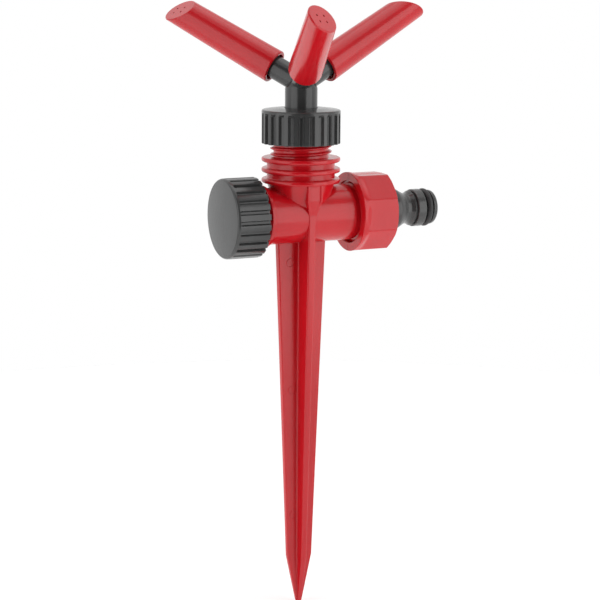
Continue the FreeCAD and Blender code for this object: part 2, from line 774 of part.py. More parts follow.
def make_nozzle_tube(index):
    """Tapered tube, socketed on its arm, with a drilled and bevelled far end."""
    name = f"nozzle_tube_{index + 1}"
    bevel = math.radians(SIZES["nozzle_bevel"])
    # where the bevelled face and the inside of its wall cross the tube's axis
    face = SIZES["nozzle_start"] + SIZES["nozzle_length"] - SIZES["nozzle_far_radius"] * math.tan(bevel)
    inside = face - SIZES["nozzle_wall"] / math.cos(bevel)
    outer = rod(name + "_outer", "Cone", size.nozzle_start, size.nozzle_length, size.nozzle_open_radius,
                size.nozzle_far_radius)
    blank = boolean("Cut", name + "_blank", outer, bevel_box(name + "_bevel", face))
    shell = boolean("Cut", name + "_shell", blank, nozzle_hollow(name, inside))
    drilled = boolean("Cut", name + "_drilled", shell, jets(name, face))
    doc.recompute()
    rims = outer_rims(drilled.Shape)
    if len(rims) < 2:
        raise RuntimeError(f"{name} has {len(rims)} outer rims")
    rounded = doc.addObject("Part::Fillet", name)
    rounded.Base = drilled
    rounded.Edges = [(rim, SIZES["nozzle_round"], SIZES["nozzle_round"]) for rim in rims]
    rounded.Label = name
    rounded.Placement = arm_frame(index)
    nodes.append(rounded)


def make_seals():
    upward = FreeCAD.Vector(0, 0, 1)
    sideways = FreeCAD.Vector(1, 0, 0)
    groove_middle = (SIZES["seal_groove_start"] + SIZES["seal_groove_end"]) / 2
    seal_ring("nipple_o_ring", size.nipple_seal_mean, size.nipple_seal_section,
              FreeCAD.Vector(groove_middle, 0, 0), sideways)
    seal_ring("stem_o_ring", size.stem_seal_mean, size.stem_seal_section,
              FreeCAD.Vector(0, 0, SIZES["stem_seal_height"]), upward)
    lift = FreeCAD.Vector(0, 0, SIZES["tee_height"])
    for index in range(int(SIZES["arm_count"])):
        centre = along_arm(index, SIZES["arm_seal_distance"]) - lift
        axis = along_arm(index, 1.0) - along_arm(index, 0.0)
        seal_ring(f"nozzle_o_ring_{index + 1}", size.arm_seal_mean, size.arm_seal_section, centre, axis)


def check_document():
    """Stop on any failed object, or on a sub-part that is not one valid solid."""
    for item in doc.Objects:
        if "Invalid" in item.State or "Error" in item.State:
            raise RuntimeError(f"{item.Name} failed: {item.State}")
    for item in nodes:
        shape = item.Shape
        if shape.isNull() or not shape.isValid() or len(shape.Solids) != 1:
            raise RuntimeError(f"{item.Label} is not one valid solid")


def write_parts():
    os.makedirs("parts", exist_ok=True)
    for item in nodes:
        item.Shape.exportStep(f"parts/{item.Label}.step")
        box = item.Shape.BoundBox
        print(f"{item.Label:18s} {item.Shape.Volume:9.1f} mm3  z {box.ZMin:8.2f} to {box.ZMax:7.2f}")


fill_sheet()
make_spike_body()
make_end_cap()
make_end_cap_gasket()
make_inlet_nut()
make_inlet_nipple()
make_inlet_gasket()
make_collar_nut()
make_bearing_stack()
make_rotor_hub()
for arm_index in range(int(SIZES["arm_count"])):
    make_nozzle_tube(arm_index)
make_seals()
doc.recompute()
check_document()
write_parts()
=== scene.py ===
import bmesh
import bpy
import json
import math
import numpy as np
from mathutils import Matrix, Vector


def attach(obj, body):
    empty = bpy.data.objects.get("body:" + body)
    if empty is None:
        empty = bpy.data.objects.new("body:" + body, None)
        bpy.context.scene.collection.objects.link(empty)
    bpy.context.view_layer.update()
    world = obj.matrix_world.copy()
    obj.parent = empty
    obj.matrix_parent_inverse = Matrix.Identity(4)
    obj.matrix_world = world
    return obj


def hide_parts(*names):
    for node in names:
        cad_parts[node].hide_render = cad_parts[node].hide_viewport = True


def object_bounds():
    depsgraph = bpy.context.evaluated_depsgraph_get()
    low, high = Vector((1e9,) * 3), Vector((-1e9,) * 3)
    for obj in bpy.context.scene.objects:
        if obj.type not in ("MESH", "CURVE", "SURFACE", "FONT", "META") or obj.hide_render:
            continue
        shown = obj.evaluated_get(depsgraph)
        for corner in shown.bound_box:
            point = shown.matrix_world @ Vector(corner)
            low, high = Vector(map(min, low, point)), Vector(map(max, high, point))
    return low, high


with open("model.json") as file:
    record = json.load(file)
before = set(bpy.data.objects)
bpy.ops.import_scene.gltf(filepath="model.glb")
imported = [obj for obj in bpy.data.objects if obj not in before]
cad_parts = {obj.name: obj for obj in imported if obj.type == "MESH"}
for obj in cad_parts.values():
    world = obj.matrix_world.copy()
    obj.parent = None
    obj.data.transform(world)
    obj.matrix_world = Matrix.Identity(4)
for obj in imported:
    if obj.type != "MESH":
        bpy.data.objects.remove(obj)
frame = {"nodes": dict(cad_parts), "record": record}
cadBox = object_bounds()
scene = bpy.context.scene
print("frame loaded:", len(frame["nodes"]), "nodes")


class Field:
    # a socket in a material: sums and products of it add Math nodes
    def __init__(self, tree, socket):
        self.tree = tree
        self.socket = socket

    def node(self, kind, settings=None, inputs=None, output=0):
        # one node: its settings first, then the values or links of its sockets
        made = self.tree.nodes.new(kind)
        for name, value in (settings or {}).items():
            if name == "stops":
                fillRamp(made.color_ramp, value)
            else:
                setattr(made, name, value)
        for name, value in (inputs or {}).items():
            if isinstance(value, Field):
                self.tree.links.new(value.socket, made.inputs[name])
            else:
                made.inputs[name].default_value = value
        return Field(self.tree, made.outputs[output])

    def math(self, operation, first, second=0.0):
        return self.node("ShaderNodeMath", {"operation": operation}, {0: first, 1: second})

    def __add__(self, other):
        return self.math("ADD", self, other)

    def __radd__(self, other):
        return self.math("ADD", other, self)

    def __sub__(self, other):
        return self.math("SUBTRACT", self, other)

    def __rsub__(self, other):
        return self.math("SUBTRACT", other, self)

    def __mul__(self, other):
        return self.math("MULTIPLY", self, other)

    def __rmul__(self, other):
        return self.math("MULTIPLY", other, self)

    def step(self, low, high):
        # 0 below low, 1 above high, smooth between
        return self.node("ShaderNodeMapRange", {"interpolation_type": "SMOOTHSTEP"},
                         {"Value": self, "From Min": low, "From Max": high})

    def mix(self, first, second):
        # a colour that goes from first to second as this value goes from 0 to 1
        return self.node("ShaderNodeMix", {"data_type": "RGBA"}, {0: self, 6: first, 7: second}, 2)


def fillRamp(ramp, stops):
    while len(ramp.elements) < len(stops):
        ramp.elements.new(1.0)
    for element, (place, shade) in zip(ramp.elements, stops):
        element.position = place
        element.color = (shade, shade, shade, 1.0)


def newMaterial(name, constants):
    # a Principled material whose constant sockets are set directly, and its Object coordinates
    material = bpy.data.materials.new(name)
    material.use_nodes = True
    tree = material.node_tree
    shader = tree.nodes["Principled BSDF"]
    for socket, value in constants.items():
        shader.inputs[socket].default_value = value
    place = Field(tree, tree.nodes.new("ShaderNodeTexCoord").outputs["Object"])
    return material, shader, place


def connect(shader, links):
    for socket, field in links.items():
        field.tree.links.new(field.socket, shader.inputs[socket])


def noise(place, scale, detail=3.0, roughness=0.5):
    # noise whose features are about 1 / scale metres wide
    return place.node("ShaderNodeTexNoise", {"noise_dimensions": "3D"},
                      {"Vector": place, "Scale": scale, "Detail": detail, "Roughness": roughness})


def stretched(place, x, y, z):
    # coordinates scaled along each axis, for grain that runs one way
    return place.node("ShaderNodeMapping", {}, {"Vector": place, "Scale": (x, y, z)})


def bump(field, distance, strength, under=None):
    inputs = {"Height": field, "Distance": distance, "Strength": strength}
    if under is not None:
        inputs["Normal"] = under
    return field.node("ShaderNodeBump", {}, inputs)


# moulded plastic: deep and light tints, gloss, orange peel, fine scuffs
redFinish = {
    "deep": (0.52, 0.004, 0.010, 1.0),
    "light": (0.60, 0.008, 0.015, 1.0),
    "rough": (0.14, 0.24),
    "constants": {"IOR": 1.50, "Coat Roughness": 0.06, "Coat IOR": 1.5},
    "peel": 0.00006,
    "scuff": 0.00001,
}
greyFinish = {
    "deep": (0.038, 0.039, 0.039, 1.0),
    "light": (0.060, 0.061, 0.061, 1.0),
    "rough": (0.12, 0.20),
    "constants": {"IOR": 1.50, "Coat Roughness": 0.10, "Coat IOR": 1.5},
    "peel": 0.00005,
    "scuff": 0.00002,
}


def mouldedPlastic(name, finish, flow=(1.0, 1.0, 0.25)):
    # colour clouds drawn out along the flow of the melt, orange peel and hairline scuffs in the gloss
    material, shader, place = newMaterial(name, finish["constants"])
    cloud = noise(stretched(place, *flow), 60.0, 4.0)
    speck = noise(place, 2600.0, 2.0)
    tint = (cloud * 0.8 + speck * 0.2).step(0.3, 0.7).mix(finish["deep"], finish["light"])
    scuffs = noise(stretched(place, 1.0, 1.0, 0.08), 1500.0, 2.0, 0.6).step(0.56, 0.72)
    low, high = finish["rough"]
    rough = low + (high - low) * noise(place, 220.0, 4.0) + 0.06 * scuffs
    peel = bump(noise(place, 900.0, 2.0), finish["peel"], 0.35)
    grain = bump(noise(place, 5200.0, 2.0), finish["scuff"], 0.5, peel)
    connect(shader, {"Base Color": tint, "Roughness": rough, "Normal": grain})
    return material


acetalFinish = {
    "deep": (0.70, 0.69, 0.65, 1.0),
    "light": (0.80, 0.79, 0.75, 1.0),
    "rough": (0.35, 0.5),
    "constants": {"IOR": 1.48},
    "peel": 0.00004,
    "scuff": 0.00002,
}
rubberFinish = {
    "deep": (0.012, 0.012, 0.013, 1.0),
    "light": (0.028, 0.028, 0.029, 1.0),
    "rough": (0.45, 0.62),
    "constants": {"IOR": 1.52},
    "peel": 0.00005,
    "scuff": 0.00004,
}

redPlastic = mouldedPlastic("redPlastic", redFinish)
greyPlastic = mouldedPlastic("greyPlastic", greyFinish)
whiteAcetal = mouldedPlastic("whiteAcetal", acetalFinish)
blackRubber = mouldedPlastic("blackRubber", rubberFinish)
materialOfSlot = {"red_plastic": redPlastic, "grey_plastic": greyPlastic, "white_acetal": whiteAcetal,
                  "black_rubber": blackRubber}


def dressNodes():
    slots = {part["node"]: part["material_slot"] for part in frame["record"]["subparts"]}
    for name, item in frame["nodes"].items():
        item.data.materials.clear()
        item.data.materials.append(materialOfSlot[slots[name]])


dressNodes()
print("materials done")

# The dictionaries below hold millimetres, counted from the tee's centre. The tee's centre is teeHeight
# above the frame's origin.
teeHeight = 20.0
toMetres = 0.001
threads = {"pitch": 2.5, "base": 1.7, "crest": 0.5}
# points closer than merge, in metres, become one; edges sharper than sharpAngle are drawn sharp
meshing = {"merge": 2e-6, "sharpAngle": math.radians(38.0)}


def ease(value):
    # 0 below 0, 1 above 1, and 3 v^2 - 2 v^3 between
    value = np.clip(value, 0.0, 1.0)
    return value * value * (3.0 - 2.0 * value)


def rounded(corners, rounds, steps=6):
    # each corner c of a closed outline becomes (1 - u)^2 a + 2 u (1 - u) c + u^2 b, where a and b
    # lie its round's length from c towards the corners on its two sides
    corners = np.asarray(corners, float)
    rounds = np.asarray(rounds, float)[..., None]
    back = np.roll(corners, 1, -2) - corners
    ahead = np.roll(corners, -1, -2) - corners
    first = corners + rounds * back / np.linalg.norm(back, axis=-1, keepdims=True)
    last = corners + rounds * ahead / np.linalg.norm(ahead, axis=-1, keepdims=True)
    u = np.linspace(0.0, 1.0, steps)[:, None]
    first, middle, last = first[..., None, :], corners[..., None, :], last[..., None, :]
    curve = first * (1.0 - u) ** 2 + middle * 2.0 * u * (1.0 - u) + last * u ** 2
    return curve.reshape(corners.shape[:-2] + (-1, 2))


def spaced(outline, spacing):
    # a closed outline's own points, with more on its long runs: p + k (q - p) / n between p and q
    runs = np.roll(outline, -1, 0) - outline
    lengths = np.linalg.norm(runs, axis=1)
    counts = np.ceil(lengths / spacing).astype(int)
    which = np.repeat(np.arange(len(outline)), counts)
    share = (np.arange(len(which)) - np.repeat(np.cumsum(counts) - counts, counts)) / counts[which]
    return outline[which] + runs[which] * share[:, None]


def profileOf(rows, spacing):
    # a closed profile of (along, radius) from rows of (along, radius, round)
    table = np.array(rows)
    return spaced(rounded(table[:, :2], table[:, 2]), spacing)


def evenTurns(count):
    return np.linspace(0.0, 2.0 * np.pi, count, endpoint=False)


def seamTurns(count, seams):
    # even angles, with a few more close to each seam so that its fine ridge has a shape
    near = np.array([-0.030, -0.020, -0.012, -0.006, 0.0, 0.006, 0.012, 0.020, 0.030])
    even = evenTurns(count)
    far = np.min(np.abs(np.angle(np.exp(1j * (even[:, None] - np.array(seams))))), axis=1) > 0.036
    return np.sort(np.concatenate([even[far], (np.array(seams)[:, None] + near).ravel() % (2.0 * np.pi)]))


def turned(profile, turns, axis, shape=None):
    # the profile turned round an axis: (along, radius cos t, radius sin t), after shape has moved it
    along, turn = np.meshgrid(profile[:, 0], turns, indexing="ij")
    radius = np.repeat(profile[:, 1:], len(turns), 1)
    if shape is not None:
        along, radius = shape(along, radius, turn)
    across, upward = radius * np.cos(turn), radius * np.sin(turn)
    return np.stack([along, across, upward] if axis == "X" else [across, upward, along], -1)


def seamRidge(turn, seams, radius, height=0.09, width=0.16):
    # the mould's parting line: height exp(-(w / width)^2), where w is the way round from the seam
    away = np.min([np.abs(np.angle(np.exp(1j * (turn - seam)))) for seam in seams], axis=0) * radius
    return height * np.exp(-(away / width) ** 2)


def gridFaces(rows, columns):
    # quads between neighbours in a grid whose columns close on themselves, and so do its rows
    row, column = np.meshgrid(np.arange(rows), np.arange(columns), indexing="ij")
    nextRow, nextColumn = (row + 1) % rows, (column + 1) % columns
    quads = [row * columns + column, nextRow * columns + column, nextRow * columns + nextColumn,
             row * columns + nextColumn]
    return np.stack(quads, -1).reshape(-1, 4)


def addPiece(name, grids, slotName, body, *nodes):
    # one mesh of closed grids; an open grid is (points, "open") and gets a flat face at each end
    points, faces, start = [], [], 0
    for grid in grids:
        isOpen = isinstance(grid, tuple)
        grid = grid[0] if isOpen else grid
        rows, columns = grid.shape[:2]
        quads = gridFaces(rows, columns)
        if isOpen:
            quads = quads[:(rows - 1) * columns]
        faces += (quads + start).tolist()
        if isOpen:
            faces.append(list(range(start, start + columns)))
            faces.append(list(range(start + (rows - 1) * columns, start + rows * columns)))
        points.append(grid.reshape(-1, 3))
        start += rows * columns
    places = (np.concatenate(points) + np.array([0.0, 0.0, teeHeight])) * toMetres
    mesh = bpy.data.meshes.new(name)
    mesh.from_pydata(places.tolist(), [], faces)
    work = bmesh.new()
    work.from_mesh(mesh)
    bmesh.ops.remove_doubles(work, verts=work.verts, dist=meshing["merge"])
    # a profile that closes along its axis leaves edges and points there that carry no face
    looseEdges = [edge for edge in work.edges if not edge.link_faces]
    bmesh.ops.delete(work, geom=looseEdges, context="EDGES")
    loosePoints = [vert for vert in work.verts if not vert.link_faces]
    bmesh.ops.delete(work, geom=loosePoints, context="VERTS")
    bmesh.ops.recalc_face_normals(work, faces=work.faces)
    work.to_mesh(mesh)
    work.free()
    mesh.polygons.foreach_set("use_smooth", np.ones(len(mesh.polygons), bool))
    mesh.set_sharp_from_angle(angle=meshing["sharpAngle"])
    mesh.materials.append(materialOfSlot[slotName])
    piece = bpy.data.objects.new(name, mesh)
    scene.collection.objects.link(piece)
    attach(piece, body)
    if nodes:
        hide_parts(*nodes)
    return piece


def helixRidge(axis, root, height, start, turns, fade=0.5):
    # a ridge wound round an axis: (start + pitch t / 2 pi + a, root + h) with t the angle and (a, h)
    # its section, which sinks into the root over the last fade of a turn at both ends
    half, top = threads["base"] / 2.0, threads["crest"] / 2.0
    buried = -0.6
    corners = [(-half, buried), (-half, 0.0), (-top, height), (top, height), (half, 0.0), (half, buried)]
    section = rounded(corners, [0.05, 0.25, 0.22, 0.22, 0.25, 0.05], 4)
    angle = np.linspace(0.0, 2.0 * np.pi * turns, int(96 * turns))[:, None]
    grow = ease(angle / (2.0 * np.pi * fade)) * ease((angle[-1] - angle) / (2.0 * np.pi * fade))
    along = start + threads["pitch"] * angle / (2.0 * np.pi) + section[None, :, 0]
    radius = root - 0.02 + section[None, :, 1] - (1.0 - grow) * (height + 0.05)
    across, upward = radius * np.cos(angle), radius * np.sin(angle)
    grid = np.stack([along, across, upward] if axis == "X" else [across, upward, along], -1)
    return grid, "open"


def innerThread(along, turn, start, turns):
    # 1 on the crest of a thread inside a nut, 0 between: a trapezoid round the helix
    # start + pitch t / 2 pi
    count = np.round((along - start) / threads["pitch"] - turn / (2.0 * np.pi))
    total = count + turn / (2.0 * np.pi)
    away = np.abs(along - start - threads["pitch"] * total)
    half, top = threads["base"] / 2.0, threads["crest"] / 2.0
    ends = ease(total / 0.2) * ease((turns - total) / 0.2)
    return np.clip((half - away) / (half - top), 0.0, 1.0) * ends


# the tee: its tube, its neck with three fins, and the threads of its three spigots
tube = {
    "profile": [(-33.7, 9.0, 0.3), (-33.7, 11.8, 0.5), (-19.1, 11.8, 0.2), (-19.1, 13.2, 0.45),
                (-17.2, 13.2, 0.45), (-17.2, 12.15, 0.3), (21.2, 12.15, 0.15), (21.4, 11.8, 0.15),
                (32.4, 11.8, 0.5), (32.4, 9.0, 0.3)],
    "seams": [0.5 * math.pi, 1.5 * math.pi],
    "leftThread": (-32.7, 4.5), "rightThread": (22.8, 3.5), "root": 11.8, "ridge": 1.4,
}
neck = {
    "foot": [(1.2, 9.0, 0.1), (1.2, 10.6, 0.1), (14.05, 14.6, 0.5)],
    "fins": (14.05, 18.55, 23.05), "finThickness": 1.9, "finRadius": 16.9, "finRound": 0.85, "wall": 14.6,
    "rim": [(24.95, 11.8, 0.6), (37.4, 11.8, 0.5), (37.4, 9.0, 0.3)],
    "seams": [0.0, math.pi],
    "thread": (25.05, 4.5),
}


def seamed(seams, least):
    # adds the parting ridge to a turned shape wherever its radius is at least least
    def shape(along, radius, turn):
        return along, radius + seamRidge(turn, seams, radius) * (radius > least)
    return shape


def addTee():
    tubeGrid = turned(profileOf(tube["profile"], 2.0), seamTurns(144, tube["seams"]), "X",
                      seamed(tube["seams"], 11.5))
    rows = list(neck["foot"])
    for low in neck["fins"]:
        high = low + neck["finThickness"]
        rows += [(low, neck["finRadius"], neck["finRound"]), (high, neck["finRadius"], neck["finRound"])]
        rows += [(high, neck["wall"], 0.5), (low + 4.5, neck["wall"], 0.5)]
    rows = rows[:-2] + neck["rim"]
    neckGrid = turned(profileOf(rows, 2.0), seamTurns(144, neck["seams"]), "Z", seamed(neck["seams"], 14.0))
    ridges = [helixRidge("X", tube["root"], tube["ridge"], *tube["leftThread"]),
              helixRidge("X", tube["root"], tube["ridge"], *tube["rightThread"]),
              helixRidge("Z", tube["root"], tube["ridge"], *neck["thread"])]
    addPiece("teeTube", [tubeGrid], "red_plastic", "base", "spike_body")
    addPiece("teeNeck", [neckGrid], "red_plastic", "base")
    addPiece("spigotThreads", ridges, "red_plastic", "base")


# the spike's cross-shaped blade, by depth below the tee's centre, and the boss in front of the neck
blade = {
    "depth": (2.0, 152.6, 173.2), "half": (11.65, 5.85, 1.4), "reach": (12.1, 5.85, 1.4),
    "web": (3.4, 2.4, 1.6), "outerRound": (0.55, 0.5, 0.25), "innerRound": (0.9, 0.7, 0.2),
    "nose": 1.4, "rows": 90,
}
boss = {
    "height": (-2.0, 1.0, 7.4, 15.0), "half": (1.7, 1.7, 3.5, 3.5), "front": (12.4, 12.4, 14.7, 14.7),
    "lip": 0.8, "slope": 0.4, "dish": (0.0, 0.0, 0.35, 0.35), "back": 9.0, "rows": 40,
}
pinMarks = {"depths": (20.5, 77.0, 133.5), "radius": 1.8, "ridge": 0.11, "proud": 0.05}


def bladeAt(word, depth):
    return np.interp(depth, blade["depth"], blade[word])


def addSpike():
    # the section of each depth, shrunk by sqrt(1 - (d / nose)^2) past the tip's start to close the nose
    tipStart = blade["depth"][-1]
    body = np.linspace(blade["depth"][0], tipStart, blade["rows"])
    body = np.sort(np.append(body, blade["depth"][1]))
    past = np.sin(np.linspace(0.0, 0.5 * np.pi, 9)[1:]) * blade["nose"]
    depth = np.concatenate([body, tipStart + past])
    pastShare = np.maximum(depth - tipStart, 0.0) / blade["nose"]
    shrink = np.sqrt(np.clip(1.0 - pastShare ** 2, 1e-6, 1.0))[:, None]
    half, reach, web = (bladeAt(word, depth) for word in ("half", "reach", "web"))
    w = web / 2.0
    across = np.stack([w, half, half, w, w, -w, -w, -half, -half, -w, -w, w], 1)
    forward = np.stack([w, w, -w, -w, -reach, -reach, -w, -w, w, w, reach, reach], 1)
    outer, inner = bladeAt("outerRound", depth), bladeAt("innerRound", depth)
    rounds = np.stack([inner, outer, outer] * 4, 1)
    ring = rounded(np.stack([across, forward], -1), rounds) * shrink[..., None]
    height = np.broadcast_to(-depth[:, None, None], ring.shape[:2] + (1,))
    marks = []
    for centre in pinMarks["depths"]:
        # a fine raised ring on the left flange's front face: a small round section carried round a circle
        turn, around = np.meshgrid(evenTurns(48), evenTurns(8), indexing="ij")
        far = pinMarks["radius"] + pinMarks["ridge"] * np.cos(around)
        face = -bladeAt("web", centre) / 2.0
        x = -bladeAt("half", centre) / 2.0 + far * np.cos(turn)
        z = -centre + far * np.sin(turn)
        slope = (bladeAt("web", centre + 5.0) - bladeAt("web", centre - 5.0)) / 20.0
        y = face - pinMarks["proud"] - pinMarks["ridge"] * np.sin(around) - slope * (-z - centre)
        marks.append(np.stack([x, y, z], -1))
    addPiece("spikeBlade", [(np.concatenate([ring, height], -1), "open")], "red_plastic", "base")
    addPiece("pinMarks", marks, "red_plastic", "base")


def addBoss():
    # a dished tongue: at each height a section with a lip on both sides, carried up the neck
    height = np.linspace(boss["height"][0], boss["height"][-1], boss["rows"])
    words = ("half", "front", "dish")
    half, front, dish = (np.interp(height, boss["height"], boss[word]) for word in words)
    back = np.full_like(half, boss["back"])
    lip, floor = half - boss["lip"], half - boss["lip"] - boss["slope"]
    across = np.stack([-half, -half, -lip, -floor, floor, lip, half, half], 1)
    forward = -np.stack([back, front, front, front - dish, front - dish, front, front, back], 1)
    ring = rounded(np.stack([across, forward], -1), [0.2, 0.35, 0.15, 0.15, 0.15, 0.15, 0.35, 0.2])
    grid = np.concatenate([ring, np.broadcast_to(height[:, None, None], ring.shape[:2] + (1,))], -1)
    addPiece("neckBoss", [(grid, "open")], "red_plastic", "base")


addTee()
addSpike()
addBoss()
print("spike body done")

# the rotor's hub: a stem that turns in the collar, with three arms that carry the nozzle tubes
hub = {
    "stem": [(27.0, 3.3, 0.3), (27.0, 5.5, 0.5), (33.0, 5.5, 0.2), (33.0, 4.3, 0.2), (34.6, 4.3, 0.2),
             (34.6, 5.5, 0.2), (42.5, 5.5, 0.2), (42.5, 6.95, 0.4), (54.6, 6.95, 0.9), (60.4, 4.2, 1.4),
             (60.4, 0.0, 0.0), (52.0, 0.0, 0.0), (52.0, 3.3, 0.4)],
    "arm": [(2.0, 0.0, 0.0), (2.0, 5.0, 0.3), (19.25, 5.0, 0.2), (19.25, 3.9, 0.2), (20.75, 3.9, 0.2),
            (20.75, 5.0, 0.2), (26.0, 5.0, 0.6), (26.0, 2.6, 0.4), (12.0, 2.6, 0.3), (12.0, 0.0, 0.0)],
    "armHeight": 56.5, "elevation": math.radians(27.2), "azimuth": math.radians(12.7), "arms": 3,
}


def alongArm(grid, azimuth):
    # a grid turned round X, tilted up by the elevation and swung round to the arm's azimuth
    tilt, c, s = hub["elevation"], math.cos(azimuth), math.sin(azimuth)
    ahead = np.array([math.cos(tilt) * c, math.cos(tilt) * s, math.sin(tilt)])
    aside = np.array([-s, c, 0.0])
    frameOfArm = np.stack([ahead, aside, np.cross(ahead, aside)])
    return grid @ frameOfArm + np.array([0.0, 0.0, hub["armHeight"]])


def addHub():
    arm = turned(profileOf(hub["arm"], 1.5), evenTurns(96), "X")
    azimuths = hub["azimuth"] + evenTurns(hub["arms"])
    stem = turned(profileOf(hub["stem"], 1.5), evenTurns(128), "Z")
    arms = [alongArm(arm, swing) for swing in azimuths]
    addPiece("hubStem", [stem] + arms, "grey_plastic", "rotor", "rotor_hub")


addHub()
print("hub done")

# the two ribbed nuts
grips = {
    "count": 24, "depth": 1.35, "inside": 14.6, "fade": 0.4,
    "turnsEach": 16, "crowding": 0.6, "spacing": 0.5,
}
endCap = {
    "profile": [(-37.2, 0.0, 0.0), (-37.2, 9.0, 7.5), (-36.4, 17.15, 1.2), (-21.3, 17.15, 0.35),
                (-21.3, 13.55, 0.3), (-34.1, 13.55, 0.2), (-34.1, 12.25, 0.1), (-35.2, 12.25, 0.2),
                (-35.2, 0.0, 0.0)],
    "outer": 17.15, "groove": 0.62, "wall": 0.34, "phase": 0.0, "grooveStart": -35.1,
    "bore": 13.55, "crest": 12.1, "thread": (-31.45, 3.0),
}
collar = {
    "profile": [(30.8, 13.55, 0.3), (30.8, 16.9, 0.35), (45.1, 16.9, 0.75), (46.0, 9.5, 1.5),
                (46.0, 7.15, 0.3), (43.6, 7.15, 0.2), (43.6, 10.4, 0.2), (40.3, 10.4, 0.1),
                (40.3, 12.25, 0.2), (37.8, 12.25, 0.1), (37.8, 13.55, 0.2)],
    "outer": 16.9, "groove": 0.92, "wall": 0.30, "phase": math.radians(5.2), "grooveEnd": 43.6,
    "bore": 13.55, "crest": 12.1, "thread": (33.8, 1.25),
}


def gripTurns(nut):
    # angles crowded into the grooves: t - crowding sin(count t) / count, turned by the nut's phase
    even = evenTurns(grips["count"] * grips["turnsEach"])
    return even - grips["crowding"] * np.sin(grips["count"] * even) / grips["count"] + nut["phase"]


def grooved(nut, axialMask):
    # the outer wall sinks by depth inside each groove, and the bore's thread stands out of its wall
    def shape(along, radius, turn):
        share = (turn - nut["phase"]) * grips["count"] / (2.0 * np.pi)
        away = np.abs(share - np.round(share)) * 2.0 * np.pi * nut["outer"] / grips["count"]
        sunk = 1.0 - ease((away - nut["groove"]) / nut["wall"])
        outside = np.clip((radius - grips["inside"]) / (nut["outer"] - grips["inside"]), 0.0, 1.0)
        inBore = np.abs(radius - nut["bore"]) < 0.01
        ridge = innerThread(along, turn, *nut["thread"]) * (nut["bore"] - nut["crest"]) * inBore
        return along, radius - grips["depth"] * sunk * outside * axialMask(along) - ridge
    return shape


def addNuts():
    capShape = grooved(endCap, lambda along: ease((along - endCap["grooveStart"]) / grips["fade"]))
    collarShape = grooved(collar, lambda along: ease((collar["grooveEnd"] - along) / grips["fade"]))
    capGrid = turned(profileOf(endCap["profile"], grips["spacing"]), gripTurns(endCap), "X", capShape)
    collarGrid = turned(profileOf(collar["profile"], grips["spacing"]), gripTurns(collar), "Z", collarShape)
    addPiece("endCapShell", [capGrid], "grey_plastic", "cap", "end_cap")
    addPiece("collarNutShell", [collarGrid], "grey_plastic", "collar", "collar_nut")


addNuts()
print("ribbed nuts done")

# the octagonal coupling nut and the hose nipple that it holds
couplingNut = {
    "profile": [(22.6, 13.55, 0.35), (22.6, 17.2, 0.22), (23.4, 17.2, 0.3), (25.4, 17.45, 0.5),
                (38.6, 17.45, 0.25), (39.3, 16.33, 0.25), (39.3, 9.3, 0.3), (36.6, 9.3, 0.2),
                (36.6, 12.25, 0.2), (32.8, 12.25, 0.1), (32.8, 13.55, 0.2)],
    "flat": 16.15, "flats": 8, "firstFlat": 0.0, "flatStart": 23.0, "flatRun": 3.6, "corner": 110.0,
    "bore": 13.55, "crest": 12.1, "thread": (24.05, 2.5), "seams": [0.5 * math.pi, 1.5 * math.pi],
}
nipple = {
    "profile": [(34.4, 4.2, 0.2), (34.4, 12.0, 0.3), (36.5, 12.0, 0.3), (36.5, 9.1, 0.2), (45.0, 9.1, 0.9),
                (49.2, 6.8, 0.9), (51.0, 6.8, 0.6), (52.7, 7.8, 0.3), (52.8, 6.9, 0.15),
                (53.6, 6.9, 0.15), (53.8, 8.2, 0.35), (57.8, 8.25, 0.5), (57.9, 5.45, 0.25),
                (61.5, 5.45, 0.25), (61.6, 7.6, 0.4), (64.0, 7.6, 1.9), (64.0, 4.2, 0.5)],
}


def flatTurns():
    # angles crowded into the nut's corners, half a flat from the flats' middles
    count = couplingNut["flats"]
    even = evenTurns(count * 40)
    return even + 0.8 * np.sin(count * (even - couplingNut["firstFlat"])) / count


def nutShape(along, radius, turn):
    # past the rim the radius is at most flat / (sum of cos(t - flat's angle)^p)^(1/p), an octagon with
    # rounded corners; a fine ridge marks the mould's seam, and the bore's thread stands out of its wall
    count = couplingNut["flats"]
    middles = couplingNut["firstFlat"] + evenTurns(count)
    facing = np.maximum(np.cos(turn[..., None] - middles), 0.0) ** couplingNut["corner"]
    octagon = couplingNut["flat"] / np.sum(facing, -1) ** (1.0 / couplingNut["corner"])
    onFlats = ease((along - couplingNut["flatStart"]) / couplingNut["flatRun"])
    radius = np.where(radius > 15.0, radius + np.minimum(octagon - radius, 0.0) * onFlats, radius)
    seam = seamRidge(turn, couplingNut["seams"], radius, 0.10, 0.18)
    outside = radius > 14.2
    inBore = np.abs(radius - couplingNut["bore"]) < 0.01
    ridge = innerThread(along, turn, *couplingNut["thread"]) * (couplingNut["bore"] - couplingNut["crest"])
    return along - seam * outside * (along < 23.0), radius + seam * outside * (along > 23.0) - ridge * inBore


def addInlet():
    turns = np.sort(np.concatenate([flatTurns() % (2.0 * np.pi)] + [
        np.array([-0.02, -0.012, -0.006, 0.0, 0.006, 0.012, 0.02]) + seam for seam in couplingNut["seams"]]))
    addPiece("couplingNutShell", [turned(profileOf(couplingNut["profile"], 0.4), turns, "X", nutShape)],
             "red_plastic", "coupling_nut", "inlet_nut")
    addPiece("hoseNipple", [turned(profileOf(nipple["profile"], 1.0), evenTurns(144), "X")],
             "grey_plastic", "inlet_fitting", "inlet_nipple")


addInlet()
print("inlet done")

